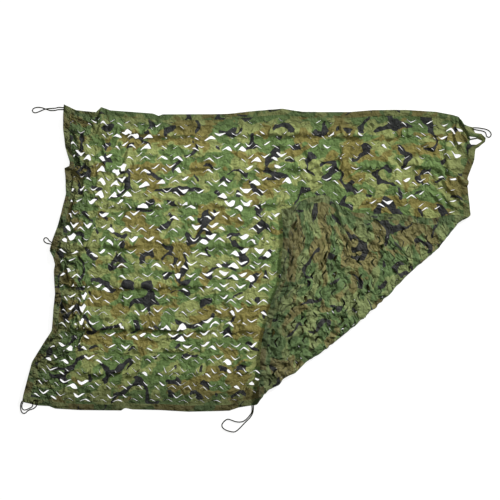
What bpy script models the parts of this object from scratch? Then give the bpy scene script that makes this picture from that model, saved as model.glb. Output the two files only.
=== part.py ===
"""Camouflage net: one leaf-cut cloth, about 2.0 m x 1.5 m, with a turned hem and five cord loops.

It lies flat on a surface with its lower right corner folded over onto the rest. Plan sizes are in
millimetres, +X right and +Y up the sheet, with the origin under the middle of the laid cloth. The
cloth is drawn flat first, with its corner unfolded, cut, and then laid: "plan" below is that flat
drawing, and u and v are places on the cut cloth, across and down from its top left corner.
"""

import math

import bmesh
import bpy
from mathutils import Vector, noise
from mathutils.geometry import delaunay_2d_cdt, intersect_point_line

MM = 0.001

# The cut cloth
CLOTH_WIDTH = 2000.0
CLOTH_LENGTH = 1500.0
CLOTH_THICKNESS = 2.0
HEM_THICKNESS = 3.0
HEM_WIDTH = 30.0
HEM_STEP = 4.0
HEM_SPACING = 90.0
SAME_POINT = 0.001

# Leaf cuts, at twice the spacing of the die: rows of V cuts and of upturned V cuts between them
HALF_PITCH = 76.0
ROW_PITCH = 120.0
FIRST_COLUMN = 88.0
FIRST_ROW = 96.0
CUT_COLUMNS = 25
CUT_ROWS = 12
CUT_SPAN = 94.0
CUT_DEPTH = 38.0
OPEN_WIDE = 19.0
OPEN_TIGHT = 8.0
OPEN_SPREAD = 0.5
TIGHT_SLOPE = 1.6

# The fold: its outer edge runs straight from FOLD_TOP to FOLD_FOOT, but for the bulge below
FOLD_TOP = Vector((1031.0, 205.0))
FOLD_FOOT = Vector((12.0, -700.0))
FOLD_RADIUS = 12.0
FOLD_STEPS = 6
FOLD_SPACING = 62.0
FOLD_CLEAR = 12.0
BULGE_REACH = 180.0
FLAP_DROP = 10.0
FLAP_DROP_REACH = 160.0
FLAP_CRUMPLE = 11.0

# Unevenness of the laid cloth
CRUMPLE = 12.0
CRUMPLE_SIZE = 170.0
CRUMPLE_LAYER = 0.25
LEVEL_SHARE = 0.6
FLAP_CRUMPLE_SIZE = 95.0
FLAP_CRUMPLE_LAYER = 0.95
FLAP_CRUMPLE_LEVEL = 0.5
FLAP_CRUMPLE_MOST = 1.2
CREASE_SPACING = 95.0
CREASE_CLEAR = 7.0
CREASE_TAPER = 12.0
CALM_MARGIN = 40.0
CALM_FROM_FOLD = 20.0
FLAP_MARGIN = 70.0
EDGE_REACH = 260.0

# Cord
CORD_DIAMETER = 3.6
CORD_STEP = 8.5
CORD_GAP = 0.4
CORD_LEAD = 6.0
CORD_EDGES = 2
CURVE_STEPS = 12

# Looks: colour, roughness
CLOTH_LOOK = ((0.14, 0.21, 0.08), 0.85)
CORD_LOOK = ((0.06, 0.06, 0.03), 0.8)
SHARP_ANGLE = math.radians(50.0)

# The corners of the frame that the cuts' straight rows and columns follow, away from the edges
FRAME = {
    "top_left": Vector((-915.0, 712.0)),
    "top_right": Vector((1042.0, 704.0)),
    "bottom_left": Vector((-1030.0, -710.0)),
    "bottom_right": Vector((975.0, -697.0)),
}

# The laid outline, side by side: x, y
TOP_EDGE = (
    (-905, 732), (-850, 704), (-747, 693), (-728, 719), (-685, 703), (-481, 688), (-454, 676),
    (-435, 684), (-124, 685), (-16, 698), (135, 711), (233, 695), (457, 695), (566, 704),
    (724, 705), (866, 696), (949, 679), (987, 648), (1044, 621),
)
RIGHT_EDGE = (
    (1044, 621), (1050, 597), (1053, 509), (1048, 462), (1029, 414), (1015, 377), (1025, 359),
    (1016, 345), (1020, 303), (1026, 257), (1031, 205),
)
BOTTOM_EDGE = (
    (-1104, -685), (-1030, -702), (-976, -705), (-947, -717), (-830, -724), (-633, -726),
    (-613, -713), (-581, -721), (-450, -724), (-314, -732), (-178, -729), (-117, -727),
    (-73, -711), (-24, -704), (12, -700),
)
LEFT_EDGE = (
    (-905, 732), (-908, 690), (-909, 620), (-898, 526), (-877, 459), (-877, 439), (-902, 427),
    (-898, 395), (-895, 305), (-933, 157), (-959, 88), (-974, 37), (-957, 8), (-947, -33),
    (-953, -60), (-947, -170), (-955, -243), (-962, -345), (-997, -398), (-1057, -495),
    (-1081, -585), (-1099, -655), (-1104, -685),
)
# The folded corner as it lies, from each end of the fold to its point: x, y
FLAP_TOP_EDGE = (
    (933, 200), (838, 190), (695, 209), (538, 211), (457, 219), (405, 252), (362, 290),
    (333, 302), (267, 290), (205, 262), (171, 238), (129, 233),
)
FLAP_SIDE_EDGE = (
    (33, -605), (29, -495), (38, -390), (69, -257), (89, -190), (126, -109), (130, -14),
    (138, 76), (138, 167), (129, 233),
)
# Where the hem stands away from the cloth at the top right corner, and the gaps that it leaves: x, y
HEM_BOW = ((1055, 594), (1078, 596), (1095, 582), (1104, 567), (1095, 545), (1066, 525))
BOW_GAPS = (
    ((1035, 555), (1032, 546), (1057, 534), (1084, 550), (1087, 557), (1064, 568), (1053, 558)),
    ((1029, 575), (1042, 563), (1053, 566), (1050, 575)),
)
# How far the fold's outer edge stands out from the straight line: distance along it, bulge
FOLD_BULGE = (
    (0, 0), (65, -10), (120, 0), (242, 18), (333, 14), (465, 15), (530, 27), (720, 30), (794, 28),
    (972, 17), (1047, 3), (1122, 9), (1178, -9), (1219, 0), (1278, -15), (1364, 0),
)
# Packing creases that stand up from the cloth: x1, y1, x2, y2, height, half width
CREASES = (
    (-870, 585, 980, 600, 10, 20),
    (-880, 430, 1000, 445, 12, 22),
    (-880, 250, 330, 262, 9, 20),
    (-950, 62, 110, 70, 12, 22),
    (-930, -130, 95, -122, 10, 20),
    (-940, -330, 40, -338, 11, 22),
    (-1050, -530, 20, -545, 16, 26),
    (-845, 690, -880, -300, 13, 22),
    (-600, 670, -615, -690, 11, 22),
    (-235, 670, -240, -700, 9, 20),
    (-50, 670, -45, -640, 10, 20),
    (165, 660, 150, 262, 13, 22),
    (428, 670, 425, 250, 16, 24),
    (930, 630, 935, 235, 14, 24),
)
# Where the cuts lie nearly shut: x, y, reach across, reach along
TIGHT_AREAS = (
    (560, 520, 480, 240),
    (-560, 60, 200, 420),
    (0, 690, 1200, 60),
    (-150, -690, 1100, 60),
)
# Each cord leaves the hem, rounds its loop and comes back to the hem: x, y, height above the ground
LOOPS = (
    {
        "name": "loop_top_left",
        "route": (
            (-908, 715, 0), (-928, 717, 0), (-946, 713, 0), (-964, 712, 0), (-977, 711, 0),
            (-992, 709, 0), (-1004, 706, 0), (-1013, 701, 0), (-1027, 696, 0), (-1038, 692, 0),
            (-1049, 692, 0), (-1055, 699, 0), (-1047, 709, 0), (-1034, 716, 0), (-1020, 716, 0.5),
            (-1006, 713, 3), (-992, 709, 4), (-981, 705, 3), (-969, 702, 0.5), (-949, 702, 0),
            (-930, 706, 0), (-908, 706, 0),
        ),
    },
    {
        "name": "loop_left_middle",
        "route": (
            (-974, 76, 0), (-979, 84, 0), (-985, 95, 0), (-993, 99, 0), (-1000, 92, 0),
            (-998, 81, 0), (-989, 74, 0), (-974, 66, 0),
        ),
    },
    {
        "name": "loop_bottom_left",
        "route": (
            (-1103, -680, 0), (-1111, -700, 0), (-1108, -724, 0), (-1099, -740, 0), (-1086, -730, 0),
            (-1069, -724, 0), (-1052, -719, 0), (-1040, -709, 2), (-1034, -696, 3.8),
            (-1032, -684, 3.8), (-1037, -676, 3.8), (-1043, -683, 3.8), (-1044, -697, 3.8),
            (-1052, -708, 2), (-1069, -716, 0), (-1084, -717, 0), (-1095, -709, 0), (-1094, -688, 0),
        ),
    },
    {
        "name": "loop_bottom_middle",
        "route": (
            (-4, -702, 0), (-5, -720, 0), (-9, -740, 0), (-19, -759, 0), (-34, -775, 0),
            (-48, -788, 0), (-63, -803, 0), (-79, -819, 0), (-93, -828, 0), (-115, -826, 0),
            (-135, -820, 0), (-149, -809, 0), (-154, -795, 0), (-148, -782, 0), (-132, -769, 0),
            (-119, -768, 0), (-106, -772, 0), (-91, -777, 0), (-70, -781, 0), (-52, -778, 0),
            (-36, -768, 0), (-23, -754, 0), (-15, -738, 0), (-11, -720, 0), (-12, -703, 0),
        ),
    },
    {
        "name": "loop_top_right",
        "route": (
            (1044, 620, 0), (1067, 621, 0), (1087, 617, 0), (1104, 612, 0), (1117, 604, 0),
            (1126, 592, 0), (1123, 579, 0), (1115, 576, 0), (1111, 584, 0), (1110, 596, 0),
            (1099, 604, 0), (1083, 607, 0), (1067, 611, 0), (1049, 612, 0),
        ),
    },
)


def clamp(value, low=0.0, high=1.0):
    return max(low, min(high, value))


def ease(value):
    """0 to 1 with level ends."""
    value = clamp(value)
    return value * value * (3.0 - 2.0 * value)


def near_line(point, start, end):
    """The distance to a line and the share of the way along it."""
    foot, share = intersect_point_line(point, start, end)
    return (point - Vector((foot.x, foot.y))).length, share


def segment_distance(point, start, end):
    _, share = near_line(point, start, end)
    return (point - start.lerp(end, clamp(share))).length


def distance_to(point, line):
    """The distance to a closed line."""
    return min(segment_distance(point, a, b) for a, b in zip(line, line[1:] + line[:1]))


def inside(point, line):
    crossings = False
    for a, b in zip(line, line[1:] + line[:1]):
        if (a.y > point.y) != (b.y > point.y):
            if point.x < a.x + (b.x - a.x) * (point.y - a.y) / (b.y - a.y):
                crossings = not crossings
    return crossings


def crumpled(point, size, layer):
    """Even unevenness, about -0.7 to 0.7, with bumps of this size."""
    return noise.noise(Vector((point.x / size, point.y / size, layer)))


# ---- the fold ----

FOLD_ALONG = (FOLD_FOOT - FOLD_TOP).normalized()
FOLD_OUT = Vector((-FOLD_ALONG.y, FOLD_ALONG.x))
FOLD_TURN = math.pi * FOLD_RADIUS
FLAP_LAID = [FOLD_TOP] + [Vector(p) for p in FLAP_TOP_EDGE]
FLAP_LAID += [Vector(p) for p in FLAP_SIDE_EDGE[-2::-1]] + [FOLD_FOOT]


def beyond_fold(plan):
    """How far a point of the plan lies past the line where the cloth leaves the ground."""
    return (plan - FOLD_TOP).dot(FOLD_OUT) + FOLD_RADIUS


def unfolded(x, y):
    """The plan's point for a point of the folded corner as it lies."""
    laid = Vector((x, y))
    return laid + FOLD_OUT * (FOLD_TURN - 2.0 * beyond_fold(laid))


def bulge_at(along):
    for (start, low), (end, high) in zip(FOLD_BULGE, FOLD_BULGE[1:]):
        if start <= along <= end:
            return low + (high - low) * (along - start) / (end - start)
    return 0.0


# ---- the laid cloth's outline and the places of the cut cloth in it ----

FAR_CORNER = unfolded(*FLAP_TOP_EDGE[-1])
SIDES = {
    "top": [Vector(p) for p in TOP_EDGE],
    "left": [Vector(p) for p in LEFT_EDGE],
    "right": [Vector(p) for p in RIGHT_EDGE] + [unfolded(*p) for p in FLAP_TOP_EDGE],
    "bottom": [Vector(p) for p in BOTTOM_EDGE]
    + [unfolded(*p) for p in FLAP_SIDE_EDGE[:-1]]
    + [FAR_CORNER],
}
FRAME_ENDS = {
    "top": ("top_left", "top_right"),
    "left": ("top_left", "bottom_left"),
    "right": ("top_right", "bottom_right"),
    "bottom": ("bottom_left", "bottom_right"),
}


def along_side(side, share):
    """The point at this share of a side's length."""
    points = SIDES[side]
    lengths = [(b - a).length for a, b in zip(points, points[1:])]
    left = clamp(share) * sum(lengths)
    for start, end, length in zip(points, points[1:], lengths):
        if left <= length:
            return start.lerp(end, left / length)
        left -= length
    return points[-1].copy()


def side_pull(side, share):
    """How far a side stands from the frame at this share of its length."""
    first, last = FRAME_ENDS[side]
    return along_side(side, share) - FRAME[first].lerp(FRAME[last], share)


def lay_out(u, v):
    """Where the place (u, v) of the cut cloth lies on the plan: the frame, pulled to its sides."""
    across, down = u / CLOTH_WIDTH, v / CLOTH_LENGTH
    upper = FRAME["top_left"].lerp(FRAME["top_right"], across)
    lower = FRAME["bottom_left"].lerp(FRAME["bottom_right"], across)
    point = upper.lerp(lower, down)
    pulls = {
        "top": (1.0 - ease(v / EDGE_REACH), across),
        "bottom": (1.0 - ease((CLOTH_LENGTH - v) / EDGE_REACH), across),
        "left": (1.0 - ease(u / EDGE_REACH), down),
        "right": (1.0 - ease((CLOTH_WIDTH - u) / EDGE_REACH), down),
    }
    for side, (weight, share) in pulls.items():
        point = point + side_pull(side, share) * weight
    for level, down_end in (("top", 0.0), ("bottom", 1.0)):
        for upright, across_end in (("left", 0.0), ("right", 1.0)):
            corner = side_pull(level, across_end)
            point = point - corner * (pulls[level][0] * pulls[upright][0])
    return point


def outline():
    """The plan's outline, anticlockwise from the bottom left corner, with the hem's bow."""
    bow = [Vector(p) for p in HEM_BOW]
    right = SIDES["right"][:1] + bow + SIDES["right"][2:]
    return SIDES["bottom"][:-1] + right[::-1] + SIDES["top"][-2::-1] + SIDES["left"][1:-1]


def hem_line(inset):
    """A closed line this far in from the cut cloth's edge."""
    low_u, high_u = inset, CLOTH_WIDTH - inset
    low_v, high_v = inset, CLOTH_LENGTH - inset
    columns = round((high_u - low_u) / HEM_SPACING)
    rows = round((high_v - low_v) / HEM_SPACING)
    line = [(low_u + (high_u - low_u) * i / columns, high_v) for i in range(columns)]
    line += [(high_u, high_v - (high_v - low_v) * i / rows) for i in range(rows)]
    line += [(high_u - (high_u - low_u) * i / columns, low_v) for i in range(columns)]
    line += [(low_u, low_v + (high_v - low_v) * i / rows) for i in range(rows)]
    return [lay_out(u, v) for u, v in line]


# ---- the leaf cuts ----


def tightness(point):
    """1 where the cuts lie nearly shut, 0 where they stand open."""
    most = 0.0
    for x, y, reach_x, reach_y in TIGHT_AREAS:
        away = math.hypot((point.x - x) / reach_x, (point.y - y) / reach_y)
        most = max(most, ease(TIGHT_SLOPE * (1.0 - away)))
    return most


def leaf_cut(u, v, downward):
    """The open cut whose tip is at (u, v): a V, or an upturned V, widest at its tip."""
    point = lay_out(u, v)
    wide = OPEN_WIDE + (OPEN_TIGHT - OPEN_WIDE) * tightness(point)
    opening = wide * (1.0 + OPEN_SPREAD * crumpled(point, HALF_PITCH, 0.0))
    turn = -1.0 if downward else 1.0
    half = CUT_SPAN / 2.0
    corners = (
        (u - half, v + turn * CUT_DEPTH),
        (u, v),
        (u + half, v + turn * CUT_DEPTH),
        (u, v + turn * opening),
    )
    return [lay_out(*corner) for corner in corners]


def crosses_fold(points):
    distances = [beyond_fold(point) for point in points]
    return min(distances) < FOLD_TURN + FOLD_CLEAR and max(distances) > -FOLD_CLEAR


def leaf_cuts():
    cuts = []
    for row in range(CUT_ROWS):
        for column in range(CUT_COLUMNS):
            u = FIRST_COLUMN + HALF_PITCH * column
            v = FIRST_ROW + ROW_PITCH * row
            cut = leaf_cut(u, v, downward=column % 2 == 0)
            if not crosses_fold(cut):
                cuts.append(cut)
    return cuts


# ---- the rise of the laid cloth ----


def crease_rise(point):
    most = 0.0
    for x1, y1, x2, y2, height, half_width in CREASES:
        away, share = near_line(point, Vector((x1, y1)), Vector((x2, y2)))
        if away >= half_width or not 0.0 <= share <= 1.0:
            continue
        ends = ease(min(share, 1.0 - share) * CREASE_TAPER)
        most = max(most, height * ends * (1.0 - ease(away / half_width)))
    return most


def ground_rise(point):
    """How far the cloth lies above the ground at this point, outside the folded corner."""
    crumple = CRUMPLE * crumpled(point, CRUMPLE_SIZE, CRUMPLE_LAYER) - LEVEL_SHARE
    clear_of_fold = ease((-beyond_fold(point) - CALM_FROM_FOLD) / CALM_MARGIN)
    return max(crease_rise(point), crumple, 0.0) * clear_of_fold * calm_ground(point)


def calm_ground(point):
    """0 on the level places beside the cords and under the folded corner, 1 elsewhere."""
    calm = 1.0
    for loop in LOOPS:
        for x, y, _ in loop["route"]:
            away = (point - Vector((x, y))).length
            calm = min(calm, ease(away / CALM_MARGIN - 1.0))
    if inside(point, FLAP_LAID):
        return 0.0
    return min(calm, ease(distance_to(point, FLAP_LAID) / FLAP_MARGIN))


def placed(plan, thickness):
    """A point of the plan in place, this far through the cloth from its underside."""
    past = beyond_fold(plan)
    along = (plan - FOLD_TOP).dot(FOLD_ALONG)
    if past <= 0.0:
        laid, height = plan, ground_rise(plan) + thickness
    elif past < FOLD_TURN:
        angle = past / FOLD_RADIUS
        radius = FOLD_RADIUS - thickness
        laid = plan + FOLD_OUT * (radius * math.sin(angle) - past)
        height = FOLD_RADIUS - radius * math.cos(angle)
    else:
        in_flap = past - FOLD_TURN
        laid = plan - FOLD_OUT * (past + in_flap)
        drop = FLAP_DROP * ease(in_flap / FLAP_DROP_REACH)
        crumple = FLAP_CRUMPLE_LEVEL + crumpled(laid, FLAP_CRUMPLE_SIZE, FLAP_CRUMPLE_LAYER)
        crumple = clamp(crumple, 0.0, FLAP_CRUMPLE_MOST)
        rise = FLAP_CRUMPLE * crumple * ease(in_flap / FLAP_DROP_REACH)
        height = 2.0 * FOLD_RADIUS - drop + rise - thickness
    reach = -(laid - FOLD_TOP).dot(FOLD_OUT)
    bulge = bulge_at(along) * (1.0 - ease((reach - 2.0 * FOLD_RADIUS) / BULGE_REACH))
    return Vector((laid.x, laid.y, 0.0)) + Vector((*(FOLD_OUT * bulge), height))


# ---- the cloth's mesh ----


def crease_points():
    """Points along each crease's top and both its feet."""
    points = []
    for x1, y1, x2, y2, _, half_width in CREASES:
        start, end = Vector((x1, y1)), Vector((x2, y2))
        across = Vector((start.y - end.y, end.x - start.x)).normalized() * half_width
        count = round((end - start).length / CREASE_SPACING)
        for step in range(count + 1):
            middle = start.lerp(end, step / count)
            points += [middle - across, middle, middle + across]
    return points


def clear_points(points, lines):
    """The points that keep clear of every closed line, and of the fold."""
    kept = []
    for point in points:
        if -FOLD_CLEAR < beyond_fold(point) < FOLD_TURN + FOLD_CLEAR:
            continue
        for line in lines:
            if inside(point, line) or distance_to(point, line) < CREASE_CLEAR:
                break
        else:
            kept.append(point)
    return kept


def anticlockwise(points):
    doubled_area = sum(a.cross(b) for a, b in zip(points, points[1:] + points[:1]))
    return points if doubled_area > 0.0 else points[::-1]


def plan_mesh():
    """The plan's points and triangles without the gaps, and the hem's inner line."""
    rim = outline()
    rings = [hem_line(HEM_WIDTH), hem_line(HEM_WIDTH + HEM_STEP)]
    gaps = leaf_cuts() + [[Vector(p) for p in gap] for gap in BOW_GAPS]
    points, edges, faces = [], [], []
    for loop in [rim] + gaps:
        faces.append(list(range(len(points), len(points) + len(loop))))
        points += anticlockwise(loop)
    for ring in rings:
        first = len(points)
        edges += [(first + i, first + (i + 1) % len(ring)) for i in range(len(ring))]
        points += ring
    for step in range(FOLD_STEPS + 1):
        past = FOLD_TURN * step / FOLD_STEPS - FOLD_RADIUS
        length = (FOLD_FOOT - FOLD_TOP).length
        count = round(length / FOLD_SPACING)
        first = len(points)
        for i in range(-1, count + 2):
            points.append(FOLD_TOP + FOLD_ALONG * (length * i / count) + FOLD_OUT * past)
        edges += [(i, i + 1) for i in range(first, len(points) - 1)]
    extra = [p for p in crease_points() if inside(p, rings[1]) and not inside(p, FLAP_LAID)]
    points += clear_points(extra, gaps)
    verts, _, tris, _, _, sources = delaunay_2d_cdt(points, edges, faces, 0, SAME_POINT)
    kept = [tri for tri, source in zip(tris, sources) if source == [0]]
    return verts, kept, rings[0]


def cloth_body():
    """The plan drawn as a flat sheet, given its upper side, and laid."""
    verts, tris, hem_inner = plan_mesh()
    form = bmesh.new()
    made = {}
    for tri in tris:
        for index in tri:
            if index not in made:
                made[index] = form.verts.new((*verts[index], 0.0))
        form.faces.new([made[index] for index in tri])
    upper = bmesh.ops.extrude_face_region(form, geom=form.faces[:], use_keep_orig=True)
    upper_verts = {item for item in upper["geom"] if isinstance(item, bmesh.types.BMVert)}
    for vert in form.verts:
        plan = Vector(vert.co.xy)
        thickness = 0.0
        if vert in upper_verts:
            in_hem = distance_to(plan, hem_inner) < HEM_STEP / 2.0 or not inside(plan, hem_inner)
            thickness = HEM_THICKNESS if in_hem else CLOTH_THICKNESS
        vert.co = placed(plan, thickness) * MM
    bmesh.ops.recalc_face_normals(form, faces=form.faces)
    return form


# ---- the cord loops ----


def hem_exit(point, toward):
    """The nearest place on the hem's edge, just clear of it, and the way straight out of it."""
    rim = outline()
    best = min(zip(rim, rim[1:] + rim[:1]), key=lambda ends: segment_distance(point, *ends))
    start, end = best
    _, share = near_line(point, start, end)
    foot = start.lerp(end, clamp(share))
    away = Vector((end.y - start.y, start.x - end.x)).normalized()
    if away.dot(toward - foot) < 0.0:
        away.negate()
    return foot + away * CORD_GAP, away


def smooth_route(points):
    """The ends, and between their neighbours points CORD_STEP apart on a smooth curve."""
    fine = []
    for before, start, end, after in zip(points, points[1:], points[2:], points[3:]):
        for step in range(CURVE_STEPS):
            t = step / CURVE_STEPS
            point = 2.0 * start + (end - before) * t
            point += (2.0 * before - 5.0 * start + 4.0 * end - after) * t**2
            point += (3.0 * start - before - 3.0 * end + after) * t**3
            fine.append(point / 2.0)
    fine.append(points[-2])
    total = sum((b - a).length for a, b in zip(fine, fine[1:]))
    count = round(total / CORD_STEP)
    spaced, travelled = [fine[0]], 0.0
    for start, end in zip(fine, fine[1:]):
        length = (end - start).length
        wanted = total * len(spaced) / count
        if travelled + length >= wanted and len(spaced) < count:
            spaced.append(start.lerp(end, (wanted - travelled) / length))
        travelled += length
    return [points[0], *spaced, fine[-1], points[-1]]


def cord_loop(name, route):
    """A cord as a tube along its route, both its ends square to the hem."""
    radius = CORD_DIAMETER / 2.0
    points = [Vector((x, y, radius + CORD_GAP / 2.0 + rise)) for x, y, rise in route]
    for index, neighbour in ((0, 1), (-1, -2)):
        foot, away = hem_exit(points[index].xy, points[neighbour].xy)
        lead = foot + away * CORD_LEAD
        height = points[index].z
        points[index] = Vector((*foot, height))
        position = 1 if index == 0 else len(points) - 1
        points.insert(position, Vector((*lead, height)))
    centres = smooth_route(points)
    curve = bpy.data.curves.new(name, "CURVE")
    curve.dimensions = "3D"
    curve.bevel_depth = radius * MM
    curve.bevel_resolution = CORD_EDGES
    curve.use_fill_caps = True
    spline = curve.splines.new("POLY")
    spline.points.add(len(centres) - 1)
    for point, centre in zip(spline.points, centres):
        point.co = (*(centre * MM), 1.0)
    loop = bpy.data.objects.new(name, curve)
    bpy.context.collection.objects.link(loop)
    return loop


# ---- materials and assembly ----


def material(name, colour, roughness):
    made = bpy.data.materials.new(name)
    made.use_nodes = True
    shader = made.node_tree.nodes["Principled BSDF"]
    shader.inputs["Base Color"].default_value = (*colour, 1.0)
    shader.inputs["Roughness"].default_value = roughness
    shader.inputs["Metallic"].default_value = 0.0
    return made


def net():
    form = cloth_body()
    mesh = bpy.data.meshes.new("net")
    form.to_mesh(mesh)
    form.free()
    mesh.shade_smooth()
    mesh.set_sharp_from_angle(angle=SHARP_ANGLE)
    made = bpy.data.objects.new("net", mesh)
    bpy.context.collection.objects.link(made)
    mesh.materials.append(material("printed_cloth", *CLOTH_LOOK))
    return made


def main():
    for leftover in list(bpy.data.objects):
        bpy.data.objects.remove(leftover)
    net()
    cord = material("braided_cord", *CORD_LOOK)
    for row in LOOPS:
        loop = cord_loop(row["name"], row["route"])
        loop.data.materials.append(cord)


main()
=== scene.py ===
"""Looks of the camouflage net: leaf-cut printed cloth with a turned hem and five cord loops.

The cloth is drawn flat, as it was cut, with u across and v down from its top left corner in
millimetres. It is cut, pulled into its laid outline, wrinkled and settled, and then its lower
right corner is folded over. Places on the ground are in millimetres too, and everything is built
in metres.
"""

import math

import bpy
import numpy as np
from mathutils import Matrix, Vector, noise


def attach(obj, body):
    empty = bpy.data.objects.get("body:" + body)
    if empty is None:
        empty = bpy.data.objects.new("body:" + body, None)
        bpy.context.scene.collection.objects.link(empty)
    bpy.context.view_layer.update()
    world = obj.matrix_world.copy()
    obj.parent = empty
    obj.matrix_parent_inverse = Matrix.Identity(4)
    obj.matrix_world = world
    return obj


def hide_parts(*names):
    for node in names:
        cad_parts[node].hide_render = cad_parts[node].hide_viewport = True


MM = 0.001
SEED = 41

# Camera, light and floor, in metres
VIEW_WIDTH = 2.38
CAMERA_PLACE = (-0.019, 0.038, 3.0)
SKY_COLOUR = (0.96, 1.0, 0.8, 1.0)
SKY_STRENGTH = 0.10
# Each light's place, what it points at, its size and its power
LIGHTS = {
    "key": ((6.4, 6.4, 4.6), (0.0, 0.0, 0.0), 1.2, 1310.0),
    "fill": ((-0.25, 0.55, 1.4), (-0.22, 0.1, 0.0), 0.8, 10.0),
}
FLOOR_REACH = 8
FLOOR_COLOUR = (0.2, 0.2, 0.2, 1.0)
FLOOR_ROUGHNESS = 0.9
FLOOR_GLOW = 0.9

# The cut cloth
CLOTH_WIDTH = 2000.0
CLOTH_LENGTH = 1500.0
HEM_WIDTH = 30.0
CLOTH_THICKNESS = 0.9
HEM_THICKNESS = 2.2
HEM_MARGIN = 1.0

# Leaf cuts: rows of V cuts, and upturned V cuts half a column across from them
COLUMN_PITCH = 76.0
ROW_PITCH = 60.0
FIRST_COLUMN = 50.0
FIRST_ROW = 62.0
COLUMNS = 25
ROWS = 24
CUT_RISE = 14.0
TIP_SHARPNESS = 0.94
STEPS_ACROSS = 12  # grid columns from one cut to the next
HALF_CUT = 4  # grid columns from a cut's middle to its end
LIP_POINTS = 2 * HALF_CUT - 1
# The grid's lines beside each side of the cloth, from its edge, and those of its left side
SIDE_LINES = (0.0, 4.0, 17.0, HEM_WIDTH, 33.0, 41.0)
LEFT_LINES = (0.0, 15.0, HEM_WIDTH, 34.0, 39.0, 44.5)
# Where the rows start to zigzag, from the edge, and how much further in they do so in full
LEVEL_ZIGZAG = (HEM_WIDTH, 24.0)
LEFT_ZIGZAG = (20.0, 24.0)
RIGHT_ZIGZAG = (33.0, 17.0)

# How the lips of a cut part. The tongue's way back is drawn as the exponential of a normal number.
TONGUE_DRAW = (1.5, 0.85)
TONGUE_MOST = 18.0
TONGUE_ASIDE = -0.4
TONGUE_LIFT = (0.1, 0.6)
TONGUE_POWER = (1.4, 3.4)
TONGUE_SKEW = (0.25, 0.55)
OTHER_LIP = (-0.3, -0.35, 0.2)  # aside, back and up, as shares of the tongue's
LIP_ROWS = 3  # rows of the grid on each side of a cut that move with its lips
LIP_REACH = 14.0
ASTRAY = 2.0
ASTRAY_LEFT = 5.0
LEAST_ASTRAY = 0.3
FIRM_CUT = 1.2
LIMP_CUT = 4.0

# The fold
FOLD_TOP = np.array((1031.0, 205.0))
FOLD_FOOT = np.array((12.0, -700.0))
FOLD_RADIUS = 12.0
BULGE_REACH = 180.0
FLAP_DROP = 10.0
FLAP_DROP_REACH = 160.0
FLAP_MARGIN = 50.0
FLAP_REACH = 60.0
RIM_CRUMPLE = 9.0

# Wrinkles
SIDE_REACH = 110.0
GATHER_REACH = 190.0
LEFT_SIDE_REACH = 40.0
LEFT_SIDE_SHARE = 0.7
WARP_SWAY = 22.0
CLOSE_SWAY = 8.0
CLOSE_SWAY_LEFT = 14.0
BROAD_HEIGHT = 16.0
SMALL_HEIGHT = 3.0
EDGE_RISE = 0.4
LEFT_EDGE_RISE = 0.85
RIDGE_SHARPNESS = 2.4
CREASE_LEAN = 0.9
CREASE_SCALE = 1.3
CREASE_END = 12.0
CREASE_POWER = 1.1
CREASE_WANDER = (16.0, 5.0)

# How the cloth settles
MOST_RISE = 19.0
LEAST_RISE = 1.3
FLAT_ROOM = 1.0
FLAP_ROOM = 0.75
FREE_FROM = 20.0
FREE_REACH = 40.0
LEVEL_FLAP = 10.0
BEND_STIFFNESS = 0.3
CREASE_STIFFNESS = 0.1
LOOSE_STIFFNESS = 0.8
SETTLE_ROUNDS = 120
SETTLE_KEPT = 0.85
SETTLE_WEIGHT = 0.01
SHORTEST = 0.01
# How much a length of cloth may shrink and stretch as it is laid, as shares of it
MOST_SHORT = 0.05
MOST_SHORT_FLAP = 0.2
MOST_LONG = 0.08
MOST_LONG_LOOSE = 0.12
MOST_LONG_CREASE = 0.8
CREASE_FROM = 2.0
LOOSE_REACH = 160.0
LOOSE_FLAP = 0.3
HELD_EDGE = 1.0

# The corners between which the cloth is laid, and how far in the pull of its outline reaches
EDGE_REACH = 260.0
FRAME = {
    "top_left": np.array((-915.0, 712.0)),
    "top_right": np.array((1042.0, 704.0)),
    "bottom_left": np.array((-1030.0, -710.0)),
    "bottom_right": np.array((975.0, -697.0)),
}
# The laid outline, side by side: x, y
TOP_EDGE = (
    (-905, 732), (-850, 704), (-747, 693), (-728, 719), (-685, 703), (-481, 688), (-454, 676),
    (-435, 684), (-124, 685), (-16, 698), (135, 711), (233, 695), (457, 695), (566, 704),
    (724, 705), (866, 696), (946, 681), (974, 672), (987, 652), (997, 634), (1044, 621),
)
RIGHT_EDGE = (
    (1044, 621), (1050, 597), (1053, 509), (1048, 462), (1029, 414), (1015, 377), (1025, 359),
    (1016, 345), (1020, 303), (1026, 257), (1031, 205),
)
BOTTOM_EDGE = (
    (-1104, -685), (-1030, -702), (-976, -705), (-947, -717), (-830, -724), (-633, -726),
    (-613, -713), (-581, -721), (-450, -724), (-314, -732), (-178, -729), (-117, -727),
    (-73, -711), (-24, -704), (12, -700),
)
LEFT_EDGE = (
    (-905, 732), (-908, 690), (-909, 620), (-898, 526), (-877, 459), (-877, 439), (-902, 427),
    (-898, 395), (-895, 305), (-933, 157), (-959, 88), (-974, 37), (-957, 8), (-947, -33),
    (-953, -60), (-947, -170), (-955, -243), (-962, -345), (-997, -398), (-1057, -495),
    (-1081, -585), (-1099, -655), (-1104, -685),
)
# The outline of the folded corner, as it lies
FLAP_TOP_EDGE = (
    (933, 200), (838, 190), (695, 209), (538, 211), (457, 219), (405, 252), (362, 290),
    (333, 302), (267, 290), (205, 262), (171, 238), (129, 233),
)
FLAP_SIDE_EDGE = (
    (33, -605), (29, -495), (38, -390), (69, -257), (89, -190), (126, -109), (130, -14),
    (138, 76), (138, 167), (129, 233),
)
# How far the fold bulges out: place along it, then how far
FOLD_BULGE = (
    (0, 0), (65, -10), (120, 0), (242, 18), (333, 14), (465, 15), (530, 27), (720, 30), (794, 28),
    (972, 17), (1047, 3), (1122, 9), (1178, -9), (1219, 0), (1278, -15), (1364, 0),
)
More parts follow.
